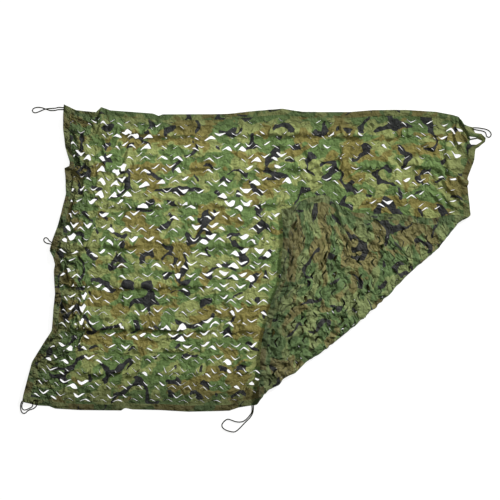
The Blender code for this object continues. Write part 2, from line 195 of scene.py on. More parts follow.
# Where the hem bows out: place down the cloth, then how far out and up go the cloth beside it, its
# inner edge and its outer edge
HEM_BOW = (
    (12, 0, 0, 0, 0, 0, 0),
    (17, 0, -4, 1, -3, 0, 0),
    (30, 5, -16, 13, -12, 2, 2),
    (33, 7, -22, 33, -25, 10, 2),
    (48, 8, -21, 39, -15, 32, 14),
    (62, 8, -15, 41, -7, 52, 6),
    (76, 8, -9, 64, -4, 48, 1),
    (86, 9, -6, 57, -1, 32, -2),
    (97, 14, -3, 38, -2, 16, -5),
    (108, 5, 0, 16, 0, 3, -2),
    (122, 0, 0, 0, 0, 0, 0),
)
# Where cloth and hem are apart there, down the cloth, and how wide the strip that is left out is
BOW_GAPS = ((33, 48), (62, 97))
BOW_STRIP = 3.0
# How the cloth beside the hem bows with it: its share at the hem, held to 1, and in how many hem
# widths a share of 1 fades. The margin keeps the hem's inner edge in the hem.
BOW_BEGIN = 1.1
BOW_REACH = 1.2
BOW_MARGIN = 0.01
# Packing creases: x1, y1, x2, y2, height, half width
CREASES = (
    (-870, 600, 980, 590, 15, 15),
    (-880, 430, 1000, 445, 15, 16),
    (-880, 250, 330, 262, 12, 14),
    (-950, 62, 110, 70, 15, 16),
    (-930, -130, 95, -122, 15, 15),
    (-940, -330, 40, -338, 15, 16),
    (-1050, -530, 20, -545, 20, 20),
    (-845, 690, -880, -300, 5, 16),
    (-600, 670, -615, -690, 4, 14),
    (-235, 670, -240, -700, 5, 14),
    (-50, 670, -45, -640, 8, 15),
    (165, 660, 150, 262, 8, 16),
    (428, 670, 425, 250, 14, 17),
    (930, 630, 935, 235, 9, 17),
)
# How far the cuts stand open: x, y, reach across, reach along, opening there, 1 for wide
OPEN_AREAS = (
    (560, 520, 480, 240, 0.4),
    (-600, 360, 300, 210, 1.25),
    (-450, 540, 480, 100, 1.2),
    (-560, -230, 260, 210, 0.4),
    (-60, 60, 230, 430, 1.15),
    (-280, -60, 240, 120, 1.25),
    (-150, -690, 1100, 80, 0.1),
    (0, 690, 1300, 110, 0.05),
    (-480, -540, 620, 150, 0.25),
    (-890, 0, 110, 600, 1.0),
    (960, 420, 100, 260, 0.9),
)
OPENING_MIDDLE = 0.8
OPENING_SPREAD = 0.8
OPEN_AREA_EDGE = 1.6
FLAP_OPENING = 0.55
UNDER_FLAP_OPENING = 0.15
UNDER_FLAP_FROM = 50.0

# Cords: length in metres, then the route's places on the ground and height above it
CORD_DIAMETER = 5.6
CORD_CLEARANCE = 0.2
CORD_STEP = 8.0
CURVE_STEPS = 12
LEAST_STEPS = 8
LOOPS = {
    "loop_top_left": (
        0.32,
        (
            (-905, 715, 0), (-928, 717, 0), (-946, 713, 0), (-964, 712, 0), (-977, 711, 0),
            (-992, 709, 0), (-1004, 705, 0), (-1014, 700, 0), (-1027, 695, 0), (-1039, 691, 0),
            (-1050, 693, 0), (-1055, 702, 0), (-1050, 711, 0), (-1038, 716, 0), (-1022, 717, 0.5),
            (-1006, 714, 3.8), (-992, 709, 5.1), (-981, 705, 3.8), (-969, 702, 0.5),
            (-949, 702, 0), (-930, 706, 0), (-905, 706, 0),
        ),
    ),
    "loop_left_middle": (
        0.11,
        (
            (-956, 73, 0), (-968, 76, 0), (-976, 84, 0), (-982, 93, 0), (-990, 97, 0),
            (-998, 94, 0), (-1001, 85, 0), (-996, 76, 0), (-986, 70, 0), (-972, 67, 0),
            (-956, 65, 0),
        ),
    ),
    "loop_bottom_left": (
        0.30,
        (
            (-1103, -680, 0), (-1109, -692, 0), (-1111, -706, 0), (-1110, -720, 0),
            (-1107, -732, 0), (-1098, -740, 0), (-1086, -737, 0), (-1078, -728, 0),
            (-1066, -722, 0), (-1052, -718, 0), (-1040, -710, 2), (-1033, -698, 4.9),
            (-1030, -687, 4.9), (-1034, -677, 4.9), (-1043, -674, 4.9), (-1051, -680, 4.9),
            (-1053, -691, 4.9), (-1053, -702, 4.9), (-1059, -711, 2), (-1070, -716, 0),
            (-1081, -721, 0), (-1092, -724, 0), (-1101, -720, 0), (-1105, -710, 0),
            (-1104, -697, 0), (-1098, -683, 0),
        ),
    ),
    "loop_bottom_middle": (
        0.45,
        (
            (-3, -702, 0), (-3, -720, 0), (-7, -740, 0), (-18, -759, 0), (-34, -775, 0),
            (-48, -789, 0), (-63, -805, 0), (-79, -820, 0), (-93, -828, 0), (-113, -826, 0),
            (-134, -819, 0), (-149, -808, 0), (-153, -795, 0), (-146, -782, 0), (-131, -769, 0),
            (-119, -768, 0), (-105, -773, 0), (-88, -779, 0), (-69, -781, 0), (-52, -778, 0),
            (-36, -767, 0.5), (-23, -753, 3), (-12, -738, 4.5), (-9, -720, 3), (-10, -703, 0.5),
        ),
    ),
    "loop_top_right": (
        0.21,
        (
            (1044, 620, 0), (1067, 619, 0), (1087, 616, 0), (1105, 612, 0), (1119, 605, 0),
            (1128, 594, 0), (1128, 582, 0), (1119, 574, 0), (1108, 578, 0), (1105, 588, 0),
            (1101, 598, 0), (1087, 604, 0), (1067, 608, 0), (1042, 613, 0),
        ),
    ),
}

# The print's two sides: colours in 0 to 255, the black strokes' breadth, how strong the painted
# shadow at the cut edges is, the crumple's strength and grain, how dark the clouds are, and how
# strong the painted shade beside the cloth's edges is
FACE = {
    "green": (94, 119, 61),
    "light": (138, 147, 84),
    "brown": (124, 116, 54),
    "black": (30, 31, 32),
    "stroke": 0.06,
    "slit_shadow": 0.85,
    "crumple": 0.7,
    "grain": 30.0,
    "shade": 0.16,
    "rim": 0.46,
}
BACK = {
    "green": (92, 117, 66),
    "light": (129, 142, 87),
    "brown": (124, 118, 68),
    "black": (41, 42, 40),
    "stroke": 0.052,
    "slit_shadow": 1.0,
    "crumple": 1.5,
    "grain": 19.0,
    "shade": 0.34,
    "rim": 0.28,
}
# How far apart in the noise the layers of the print and the wrinkles lie
HEM_APART = (1.9, 0, 0)
BROWN_APART = (3.7, 1.9, 5.0)
BLACK_APART = (7.3, 4.1, 9.0)
PATCH_APART = (1.3, 8.8, 2.0)
CROSSED_APART = (4.2, 7.7, 3.0)
# How far the noise bends the print and the facets, in metres, and how much the print is squeezed
PRINT_BEND = (0.075, 0.075, 0.0)
FACET_BEND = (0.05, 0.05, 0.0)
PRINT_STRETCH = (1.0, 1.3, 1.0)
HEM_STROKE = -0.6
HEM_SHADE = 0.14
HEM_DARK = (0.02, 0.01, 0.0, 1.0)
# The colour of the painted shade beside the cloth's edges
EDGE_SHADE_COLOUR = (0.0, 0.005, 0.0, 1.0)
# The colour of the painted shadow along the cut edges
CUT_SHADOW_COLOUR = (0.0, 0.002, 0.0, 1.0)
# How much darker the cloth is towards its left side and its foot
LEFT_AND_FOOT_DARKENING = 0.2
SIDE_CRUMPLE = 0.8
HEM_BLEND = 1.5
CORD_DARK = (17, 19, 2)
CORD_LIGHT = (38, 39, 12)

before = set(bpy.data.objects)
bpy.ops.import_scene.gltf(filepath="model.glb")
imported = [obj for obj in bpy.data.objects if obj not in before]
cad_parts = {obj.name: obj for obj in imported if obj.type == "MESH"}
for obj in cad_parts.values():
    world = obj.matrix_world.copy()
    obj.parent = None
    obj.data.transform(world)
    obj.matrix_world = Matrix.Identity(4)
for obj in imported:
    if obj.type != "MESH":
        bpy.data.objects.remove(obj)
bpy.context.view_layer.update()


# ---- camera, floor and light ----


def add_camera():
    camera = bpy.data.objects.new("camera", bpy.data.cameras.new("camera"))
    camera.data.type = "ORTHO"
    camera.data.ortho_scale = VIEW_WIDTH
    camera.location = CAMERA_PLACE
    bpy.context.scene.collection.objects.link(camera)
    bpy.context.scene.camera = camera


def add_light(name, place, target, size, power):
    data = bpy.data.lights.new(name, "AREA")
    data.size = size
    data.energy = power
    light = bpy.data.objects.new(name, data)
    light.location = place
    aim = Vector(target) - Vector(place)
    light.rotation_euler = aim.to_track_quat("-Z", "Y").to_euler()
    bpy.context.scene.collection.objects.link(light)


def floor_mesh():
    """A block, so that a low view that starts under its top sees its pale inside."""
    mesh = bpy.data.meshes.new("floor")
    square = ((-1, -1), (1, -1), (1, 1), (-1, 1))
    corners = [
        (x * FLOOR_REACH, y * FLOOR_REACH, z) for z in (0, -FLOOR_REACH) for x, y in square
    ]
    around = [(i, (i + 1) % 4, 4 + (i + 1) % 4, 4 + i) for i in range(4)]
    mesh.from_pydata(corners, [], [(0, 1, 2, 3), (7, 6, 5, 4), *around])
    return mesh


def add_surroundings():
    world = bpy.data.worlds.new("studio")
    world.use_nodes = True
    sky = world.node_tree.nodes["Background"].inputs
    sky["Color"].default_value = SKY_COLOUR
    sky["Strength"].default_value = SKY_STRENGTH
    bpy.context.scene.world = world
    bpy.context.scene.view_settings.view_transform = "Standard"
    for name, light in LIGHTS.items():
        add_light(name, *light)
    floor = bpy.data.objects.new("floor", floor_mesh())
    bpy.context.scene.collection.objects.link(floor)
    paint = Paint("floor")
    paint.set("Base Color", FLOOR_COLOUR)
    paint.set("Roughness", FLOOR_ROUGHNESS)
    paint.set("Emission Color", (1.0, 1.0, 1.0, 1.0))
    paint.set("Emission Strength", FLOOR_GLOW)
    floor.data.materials.append(paint.material)


# ---- numbers ----


def ease(value):
    """0 to 1 with level ends."""
    value = np.clip(value, 0.0, 1.0)
    return value * value * (3.0 - 2.0 * value)


def bumps(points, size, layer):
    """Even unevenness with bumps of this size at each point."""
    places = np.asarray(points).reshape(-1, 2) / size
    found = [noise.noise(Vector((x, y, layer))) for x, y in places]
    return np.array(found).reshape(np.asarray(points).shape[:-1])


def drift(points, size, layer):
    """Even unevenness across and down."""
    return np.stack([bumps(points, size, layer), bumps(points, size, layer + 1.0)], axis=-1)


def patchy(points, size, layer, middle, spread, most):
    """An amount from 0 to most that changes from patch to patch of this size."""
    return np.clip(middle + spread * bumps(points, size, layer), 0.0, most)


def along_line(line, share):
    """The points at these shares of a line's length."""
    steps = np.linalg.norm(np.diff(line, axis=0), axis=1)
    places = np.concatenate([[0.0], np.cumsum(steps)]) / steps.sum()
    share = np.clip(share, 0.0, 1.0)
    return np.stack([np.interp(share, places, line[:, axis]) for axis in (0, 1)], axis=-1)


# ---- how the cut cloth is laid ----

FOLD_ALONG = (FOLD_FOOT - FOLD_TOP) / np.linalg.norm(FOLD_FOOT - FOLD_TOP)
FOLD_OUT = np.array((-FOLD_ALONG[1], FOLD_ALONG[0]))
FOLD_TURN = math.pi * FOLD_RADIUS


def unfolded(line):
    """Where the points of the folded corner lie once it is folded back down."""
    line = np.array(line, float)
    past = (line - FOLD_TOP) @ FOLD_OUT + FOLD_RADIUS
    return line + (FOLD_TURN - 2.0 * past)[:, None] * FOLD_OUT


SIDES = {
    "top": (np.array(TOP_EDGE, float), "top_left", "top_right"),
    "left": (np.array(LEFT_EDGE, float), "top_left", "bottom_left"),
    "right": (
        np.concatenate([np.array(RIGHT_EDGE, float), unfolded(FLAP_TOP_EDGE)]),
        "top_right",
        "bottom_right",
    ),
    "bottom": (
        np.concatenate([np.array(BOTTOM_EDGE, float), unfolded(FLAP_SIDE_EDGE)]),
        "bottom_left",
        "bottom_right",
    ),
}


def side_pull(side, share):
    """How far a side of the cloth stands from the frame at these shares of its length."""
    line, first, last = SIDES[side]
    share = np.asarray(share, float)[..., None]
    return along_line(line, share[..., 0]) - (FRAME[first] * (1.0 - share) + FRAME[last] * share)


def lay_out(u, v):
    """Where the places (u, v) of the cut cloth lie, with the corner not folded yet."""
    across, down = u / CLOTH_WIDTH, v / CLOTH_LENGTH
    a, d = across[..., None], down[..., None]
    upper = FRAME["top_left"] * (1.0 - a) + FRAME["top_right"] * a
    lower = FRAME["bottom_left"] * (1.0 - a) + FRAME["bottom_right"] * a
    place = upper * (1.0 - d) + lower * d
    weight = {
        "top": 1.0 - ease(v / EDGE_REACH),
        "bottom": 1.0 - ease((CLOTH_LENGTH - v) / EDGE_REACH),
        "left": 1.0 - ease(u / EDGE_REACH),
        "right": 1.0 - ease((CLOTH_WIDTH - u) / EDGE_REACH),
    }
    share = {"top": across, "bottom": across, "left": down, "right": down}
    for side in SIDES:
        place = place + side_pull(side, share[side]) * weight[side][..., None]
    for level, down_end in (("top", 0.0), ("bottom", 1.0)):
        for upright, across_end in (("left", 0.0), ("right", 1.0)):
            corner = side_pull(level, across_end)
            place = place - corner * (weight[level] * weight[upright])[..., None]
    return place


def beyond_fold(plan):
    """How far each place lies beyond the line where the cloth starts to turn over."""
    return (plan - FOLD_TOP) @ FOLD_OUT + FOLD_RADIUS


def folded(plan, rise):
    """The laid places, with the corner folded over, of points this high above the plain cloth."""
    past = beyond_fold(plan)
    along = (plan - FOLD_TOP) @ FOLD_ALONG
    angle = np.clip(past / FOLD_RADIUS, 0.0, math.pi)
    in_flap = np.clip(past - FOLD_TURN, 0.0, None)
    turned = (past > 0.0)[..., None]
    shift = FOLD_RADIUS * np.sin(angle) - np.clip(past, 0.0, None) - in_flap
    laid = np.where(turned, plan + shift[..., None] * FOLD_OUT, plan)
    drop = FLAP_DROP * ease(in_flap / FLAP_DROP_REACH)
    height = FOLD_RADIUS * (1.0 - np.cos(angle)) - drop + rise
    reach = -((laid - FOLD_TOP) @ FOLD_OUT)
    spots, bulges = np.array(FOLD_BULGE, float).T
    bulge = np.interp(along, spots, bulges, left=0.0, right=0.0)
    bulge = bulge * (1.0 - ease((reach - 2.0 * FOLD_RADIUS) / BULGE_REACH))
    crumpled = patchy(plan, size=90.0, layer=32.0, middle=0.5, spread=2.2, most=1.6)
    rim = RIM_CRUMPLE * np.sin(angle)
    bulge = bulge + rim * crumpled * bumps(plan, size=24.0, layer=31.0)
    return np.concatenate([laid + bulge[..., None] * FOLD_OUT, height[..., None]], axis=-1)


# ---- the grid of the cut cloth ----


def zigzag(u):
    """1 at the tips of the V cuts and -1 at those of the upturned ones, rounded."""
    turn = 2.0 * math.pi * (u - FIRST_COLUMN) / COLUMN_PITCH
    return -np.arcsin(TIP_SHARPNESS * np.cos(turn)) / math.asin(TIP_SHARPNESS)


def zigzag_share(from_edge, start, reach):
    """0 beside the cloth's edge, and 1 where the rows zigzag in full."""
    return ease((from_edge - start) / reach)


def grid_lines():
    """The places of the grid's columns and rows, and which rows have V and upturned cuts."""
    step = COLUMN_PITCH / STEPS_ACROSS
    middle = FIRST_COLUMN + step * np.arange(COLUMNS * STEPS_ACROSS + 1)
    columns = np.concatenate([LEFT_LINES, middle, CLOTH_WIDTH - np.array(SIDE_LINES[::-1])])
    rows, v_rows, upturned_rows = [*SIDE_LINES[:-1]], [], []
    for row in range(ROWS):
        level = FIRST_ROW + ROW_PITCH * row
        first, second = level - CUT_RISE, level + CUT_RISE
        v_rows.append(len(rows))
        upturned_rows.append(len(rows) + 2)
        after = (level + ROW_PITCH - CUT_RISE - second) / 3.0
        rows += [first, level, second]
        if row < ROWS - 1:
            rows += [second + after, second + 2.0 * after]
    rows += [CLOTH_LENGTH - place for place in SIDE_LINES[-2::-1]]
    return columns, np.array(rows), v_rows, upturned_rows


def openness(place):
    """How far the cuts stand open at a place on the ground, about 1 for wide."""
    found = OPENING_MIDDLE + OPENING_SPREAD * bumps(place, size=150.0, layer=21.0)
    for x, y, reach_x, reach_y, value in OPEN_AREAS:
        away = np.hypot((place[..., 0] - x) / reach_x, (place[..., 1] - y) / reach_y)
        share = ease(OPEN_AREA_EDGE * (1.0 - away))
        found = found * (1.0 - share) + value * share
    past = beyond_fold(place)
    covered = under_flap(place) * ease((-past - UNDER_FLAP_FROM) / FLAP_REACH)
    found = found * (1.0 - covered) + UNDER_FLAP_OPENING * covered
    return np.where(past > 0.0, FLAP_OPENING, found)


class Cloth:
    """The cut cloth's points on a grid, with each cut's upper lip apart from its lower one."""

    def __init__(self):
        columns, rows, self.v_rows, self.upturned_rows = grid_lines()
        self.u, self.v = np.meshgrid(columns, rows)
        share = zigzag_share(self.v, *LEVEL_ZIGZAG)
        share = share * zigzag_share(CLOTH_LENGTH - self.v, *LEVEL_ZIGZAG)
        share = share * zigzag_share(self.u, *LEFT_ZIGZAG)
        share = share * zigzag_share(CLOTH_WIDTH - self.u, *RIGHT_ZIGZAG)
        self.v = self.v + CUT_RISE * share * zigzag(self.u)
        self.cuts = self.place_cuts()
        self.shift = np.zeros((*self.u.shape, 3))
        self.lips = np.zeros((len(self.cuts), LIP_POINTS, 3))

    def place_cuts(self):
        """Each cut's row and middle column in the grid, and -1 for a V, 1 for an upturned one."""
        first = int(np.argmin(abs(self.u[0] - FIRST_COLUMN)))
        cuts = []
        for turn, rows, offset in (
            (-1, self.v_rows, STEPS_ACROSS // 2),
            (1, self.upturned_rows, 0),
        ):
            for row in rows:
                for column in range(COLUMNS):
                    cuts.append((row, first + STEPS_ACROSS * column + offset, turn))
        return np.array(cuts)

    def part_lips(self, rng):
        """Draws each cut's tongue back and up, and its other lip a little the other way."""
        rows, columns, turn = self.cuts.T
        open_to = openness(lay_out(self.u[rows, columns], self.v[rows, columns]))
        count = len(self.cuts)
        wide = open_to * np.clip(np.exp(rng.normal(*TONGUE_DRAW, count)), 0.0, TONGUE_MOST)
        self.firmness = np.clip(FIRM_CUT - wide / LIMP_CUT, 0.0, 1.0)
        near_left = 1.0 - ease(self.u[rows, columns] / GATHER_REACH)
        astray = rng.normal(0.0, 1.0, count) * (ASTRAY + ASTRAY_LEFT * near_left)
        aside = TONGUE_ASIDE * wide + astray * np.clip(open_to, LEAST_ASTRAY, 1.0)
        lift = wide * rng.uniform(*TONGUE_LIFT, count)
        tongue = np.stack([aside, turn * wide, lift], axis=-1)
        other = tongue * OTHER_LIP
        power = rng.uniform(*TONGUE_POWER, count)
        skew = np.clip(rng.normal(*TONGUE_SKEW, count), -1.0, 1.0)
        for step in range(-HALF_CUT, HALF_CUT + 1):
            share = 1.0 - (abs(step) / HALF_CUT) ** power
            share = share * (1.0 + skew * step / HALF_CUT)
            column = columns + step
            for away in range(LIP_ROWS):
                for side in (-1, 1):
                    row = rows + side * away
                    gone = abs(self.v[row, column] - self.v[rows, column])
                    fade = np.exp(-gone / LIP_REACH) * share
                    move = np.where((turn == side)[:, None], tongue, other) * fade[:, None]
                    if away or side == 1:
                        np.add.at(self.shift, (row, column), move)
                    elif abs(step) < HALF_CUT:
                        self.lips[:, step + HALF_CUT - 1] += move

    def spots(self):
        """The rows and columns of the grid points along each cut."""
        rows, columns, _ = self.cuts.T
        steps = np.arange(1 - HALF_CUT, HALF_CUT)
        return rows[:, None] + 0 * steps, columns[:, None] + steps

    def points(self, shape):
        """Every grid point, then every lip point, each as shape(u, v, shift) gives it."""
        grid = shape(self.u.ravel(), self.v.ravel(), self.shift.reshape(-1, 3))
        spots = self.spots()
        lips = shape(self.u[spots].ravel(), self.v[spots].ravel(), self.lips.reshape(-1, 3))
        return np.concatenate([grid, lips])

    def lip_pairs(self):
        """Each lip point's number with that of the grid point across the cut."""
        rows, columns = self.spots()
        across = rows * self.u.shape[1] + columns
        return np.stack([across.ravel(), self.u.size + np.arange(across.size)], axis=-1)

    def bow_gaps(self):
        """Which quads are missing where the hem bows out."""
        across = 0.5 * (self.u[1:, 1:] + self.u[1:, :-1])
        down = 0.5 * (self.v[1:, 1:] + self.v[:-1, 1:])
        inner_edge = CLOTH_WIDTH - HEM_WIDTH
        beside = (across > inner_edge - BOW_STRIP) & (across < inner_edge)
        open_there = np.zeros_like(beside)
        for top, bottom in BOW_GAPS:
            open_there |= (down > top) & (down < bottom)
        return beside & open_there

    def quads(self):
        """The grid's quads, whose corners above each cut are its lip points."""
        height, width = self.u.shape
        number = np.arange(height * width).reshape(height, width)
        corners = np.stack(
            [number[1:, :-1], number[1:, 1:], number[:-1, 1:], number[:-1, :-1]], axis=-1
        )
        for index, (row, middle, _) in enumerate(self.cuts):
            first = height * width + index * LIP_POINTS
            for offset in range(LIP_POINTS):
                column = middle + 1 - HALF_CUT + offset
                corners[row - 1, column, 0] = first + offset
                corners[row - 1, column - 1, 1] = first + offset
        return corners


# ---- wrinkles ----


def crease_rise(place):
    """The creases' height, and how far each point leans over with them."""
    most = np.zeros(place.shape[:-1])
    lean = np.zeros(place.shape)
    far, near = CREASE_WANDER
    wander = far * bumps(place, size=130.0, layer=3.3) + near * bumps(place, size=45.0, layer=3.7)
    uneven = patchy(place, size=110.0, layer=4.4, middle=0.6, spread=1.5, most=1.1)
    for x1, y1, x2, y2, height, half_width in CREASES:
        start, end = np.array((x1, y1), float), np.array((x2, y2), float)
        along = (end - start) / np.linalg.norm(end - start)
        across = np.array((along[1], -along[0]))
        share = (place - start) @ along / np.linalg.norm(end - start)
        away = abs((place - start) @ across + wander)
        ends = ease(np.minimum(share, 1.0 - share) * CREASE_END)
        rise = height * ends * (1.0 - np.clip(away / half_width, 0.0, 1.0)) ** CREASE_POWER
        rise = CREASE_SCALE * rise * uneven
        lean = np.where((rise > most)[..., None], CREASE_LEAN * rise[..., None] * across, lean)
        most = np.maximum(most, rise)
    return most, lean


def ridges(flat, bend, sway, height, size, layer, power):
    """Winding ridges this high and far apart, swayed by this much of a bend."""
    away = abs(bumps(flat + sway * bend, size, layer))
    return height * np.clip(1.0 - RIDGE_SHARPNESS * away, 0.0, 1.0) ** power


def under_flap(place):
    """1 under the folded corner, falling to 0 at FLAP_MARGIN from it."""
    line = np.concatenate([[FOLD_TOP], FLAP_TOP_EDGE, FLAP_SIDE_EDGE[-2::-1], [FOLD_FOOT]])
    nearest = np.full(len(place), np.inf)
    inside = np.zeros(len(place), bool)
    for start, end in zip(line, np.roll(line, -1, axis=0)):
        step = end - start
        share = np.clip((place - start) @ step / (step @ step), 0.0, 1.0)
        away = np.linalg.norm(place - start - share[:, None] * step, axis=1)
        nearest = np.minimum(nearest, away)
        crosses = (start[1] > place[:, 1]) != (end[1] > place[:, 1])
        slant = step[0] / step[1] if step[1] else 0.0
        inside ^= crosses & (place[:, 0] < start[0] + slant * (place[:, 1] - start[1]))
    return np.where(inside, 1.0, 1.0 - ease(nearest / FLAP_MARGIN))


def start_shape(u, v, shift):
    """The laid place and rise of each point of the cloth, before it settles."""
    flat = np.stack([u, v], axis=-1)
    edge = np.minimum(np.minimum(u, CLOTH_WIDTH - u), np.minimum(v, CLOTH_LENGTH - v))
    room = ease(edge / SIDE_REACH)
    warp = drift(flat, size=150.0, layer=11.0)
    close = drift(flat, size=60.0, layer=13.0)
    gather = 1.0 - ease(np.minimum(u, CLOTH_WIDTH - u) / GATHER_REACH)
    loose = 1.0 - ease(u / GATHER_REACH)
    free = np.maximum(room, LEFT_SIDE_SHARE * loose * ease(edge / LEFT_SIDE_REACH))
    sway = WARP_SWAY * warp + (CLOSE_SWAY + CLOSE_SWAY_LEFT * loose)[:, None] * close
    moved = flat + free[:, None] * sway + shift[:, :2]
    plan = lay_out(moved[:, 0], moved[:, 1])
    in_flap = ease((beyond_fold(plan) - FOLD_TURN) / FLAP_REACH)
    creases, lean = crease_rise(plan)
    broad = BROAD_HEIGHT * bumps(plan, size=150.0, layer=0.25)
    folds = ridges(flat, warp, sway=18.0, height=9.0, size=110.0, layer=5.0, power=1.6)
    folds += ridges(flat, close, sway=12.0, height=6.0, size=58.0, layer=6.0, power=1.3)
    crumple = ridges(flat, close, sway=20.0, height=16.0, size=72.0, layer=15.0, power=1.0)
    crumple += ridges(flat, close, sway=10.0, height=5.0, size=46.0, layer=16.0, power=1.0)
    extra = ridges(flat, close, sway=14.0, height=6.0, size=37.0, layer=17.0, power=1.0)
    crumple += loose * extra
    small = SMALL_HEIGHT * bumps(flat, size=34.0, layer=7.0)
    rise = np.maximum(creases, broad) + folds + crumple * np.maximum(gather, in_flap) + small
    calm = np.maximum(EDGE_RISE + (1.0 - EDGE_RISE) * room, LEFT_EDGE_RISE * loose)
    rise = rise * calm + shift[:, 2]
    return np.concatenate([plan + lean * room[:, None], rise[:, None]], axis=-1)


def links(quads):
    """Pairs of points in each quad, and pairs two quads apart, which resist bending."""
    a, b, c, d = (quads[..., corner] for corner in range(4))
    close = [(a, b), (b, c), (c, d), (d, a), (a, c), (b, d)]
    close = np.concatenate([np.stack(pair, axis=-1).reshape(-1, 2) for pair in close])
    joined = b[:, :-1] == a[:, 1:]
    far = [np.stack([a[:, :-1], b[:, 1:]], axis=-1)[joined]]
    joined = a[:-1] == d[1:]
    far.append(np.stack([d[:-1], a[1:]], axis=-1)[joined])
    far = np.concatenate(far)
    return np.unique(np.sort(close, axis=1), axis=0), np.unique(np.sort(far, axis=1), axis=0)


def settled(points, pairs, length, stiffness, low, high, held):
    """The points once the cloth has taken its own lengths again, between its floor and ceiling."""
    first, second = pairs.T
    count = len(points)
    share = np.bincount(first, stiffness, count) + np.bincount(second, stiffness, count)
    share = 1.0 / share[:, None]
    moving = np.zeros_like(points)
    for _ in range(SETTLE_ROUNDS):
        gap = points[second] - points[first]
        now = np.linalg.norm(gap, axis=1)
        pull = (0.5 * stiffness * (1.0 - length / np.maximum(now, SHORTEST)))[:, None] * gap
        move = [
            np.bincount(first, pull[:, axis], count) - np.bincount(second, pull[:, axis], count)
            for axis in range(3)
        ]
        moving = SETTLE_KEPT * moving + np.stack(move, axis=-1) * share
        moving[:, 2] -= SETTLE_WEIGHT
        moving[held, :2] = 0.0
        points = points + moving
        points[:, 2] = np.clip(points[:, 2], low, high)
    return points


def bowed(plan, u, v):
    """The laid places with the hem at the top right standing away from the cloth."""
    spots, *moves = np.array(HEM_BOW, float).T
    moves = [np.interp(v, spots, move) for move in moves]
    beside, inner, outer = (np.stack(moves[first : first + 2], axis=-1) for first in (0, 2, 4))
    past = (u - (CLOTH_WIDTH - HEM_WIDTH)) / HEM_WIDTH
    across = np.clip(past, 0.0, 1.0)[:, None]
    nearness = np.clip(BOW_BEGIN + past / BOW_REACH, 0.0, 1.0)[:, None]
    moved_hem = inner * (1.0 - across) + outer * across
    in_hem = past > -BOW_MARGIN
    return plan + np.where(in_hem[:, None], moved_hem, beside * nearness)


def laid_points(cloth):
    """Where every point of the cloth lies in the end."""
    start = cloth.points(start_shape)
    rest = cloth.points(lambda u, v, shift: np.stack([u, v], axis=-1) + shift[:, :2])
    flat = cloth.points(lambda u, v, shift: np.stack([u, v], axis=-1))
    edge = np.minimum(flat, np.array((CLOTH_WIDTH, CLOTH_LENGTH)) - flat)
    past = beyond_fold(start[:, :2])
    in_flap = ease((past - FOLD_TURN - LEVEL_FLAP) / FLAP_REACH)
    free = (1.0 - under_flap(start[:, :2])) * ease((-past - FREE_FROM) / FREE_REACH)
    high = LEAST_RISE + FLAT_ROOM + MOST_RISE * np.maximum(free, FLAP_ROOM * in_flap)
    close, far = links(cloth.quads())
    pairs = np.concatenate([close, far, cloth.lip_pairs()])
    first, second = pairs.T
    start[:, 2] = np.clip(start[:, 2], LEAST_RISE, high)
    flat_length = np.linalg.norm(rest[second] - rest[first], axis=1)
    length = np.linalg.norm(start[second] - start[first], axis=1)
    creased = crease_rise(start[:, :2])[0] > CREASE_FROM
    creased = creased[first] | creased[second]
    loose = np.maximum(LOOSE_FLAP * in_flap, 1.0 - ease(edge[:, 0] / LOOSE_REACH))
    most_long = np.where(creased, MOST_LONG_CREASE, MOST_LONG + MOST_LONG_LOOSE * loose[first])
    most_short = MOST_SHORT + MOST_SHORT_FLAP * in_flap[first]
    length = np.clip(length, (1.0 - most_short) * flat_length, (1.0 + most_long) * flat_length)
    bend_stiffness = BEND_STIFFNESS * (1.0 - LOOSE_STIFFNESS * loose[first])
    stiff = np.where(creased, CREASE_STIFFNESS, bend_stiffness)
    stiff[: len(close)] = 1.0
    stiff[len(close) + len(far) :] = np.repeat(cloth.firmness, LIP_POINTS)
    held = edge.min(axis=1) < HELD_EDGE
    points = settled(start, pairs, length, stiff, LEAST_RISE, high, held)
    return folded(bowed(points[:, :2], *flat.T), points[:, 2])


def add_attribute(mesh, name, kind, domain, field, values):
    """Writes a value for each point or edge of the mesh under this name."""
    mesh.attributes.new(name, kind, domain).data.foreach_set(field, values)


def build_net():
    cloth = Cloth()
    cloth.part_lips(np.random.default_rng(SEED))
    points = laid_points(cloth) * MM
    flat = cloth.points(lambda u, v, shift: np.stack([u, v, 0.0 * u], axis=-1)) * MM
    far = np.array((CLOTH_WIDTH, CLOTH_LENGTH)) * MM
    inside = np.minimum(flat[:, :2], far - flat[:, :2]).min(axis=1)
    faces = cloth.quads()[~cloth.bow_gaps()]
    mesh = bpy.data.meshes.new("net_cloth")
    mesh.from_pydata(points.tolist(), [], faces.tolist())
    at_cut = np.zeros(len(points))
    at_cut[cloth.lip_pairs()] = 1.0
    add_attribute(mesh, "flat", "FLOAT_VECTOR", "POINT", "vector", flat.ravel())
    add_attribute(mesh, "edge", "FLOAT", "POINT", "value", inside)
    add_attribute(mesh, "cut", "FLOAT", "POINT", "value", at_cut)
    mesh.shade_smooth()
    edges = np.zeros(len(mesh.loops), np.int32)
    mesh.loops.foreach_get("edge_index", edges)
    at_rim = np.bincount(edges, minlength=len(mesh.edges)) < 2
    add_attribute(mesh, "sharp_edge", "BOOLEAN", "EDGE", "value", at_rim)
    net = bpy.data.objects.new("net_cloth", mesh)
    bpy.context.scene.collection.objects.link(net)
    hem = net.vertex_groups.new(name="hem")
    in_hem = inside < (HEM_WIDTH + HEM_MARGIN) * MM
    hem.add(np.flatnonzero(in_hem).tolist(), 1.0, "REPLACE")
    hem.add(np.flatnonzero(~in_hem).tolist(), CLOTH_THICKNESS / HEM_THICKNESS, "REPLACE")
    solid = net.modifiers.new("thickness", "SOLIDIFY")
    solid.thickness = HEM_THICKNESS * MM
    solid.offset = 0.0
    solid.vertex_group = "hem"
    solid.material_offset = 1
    solid.material_offset_rim = 0
    return net


# ---- cords ----


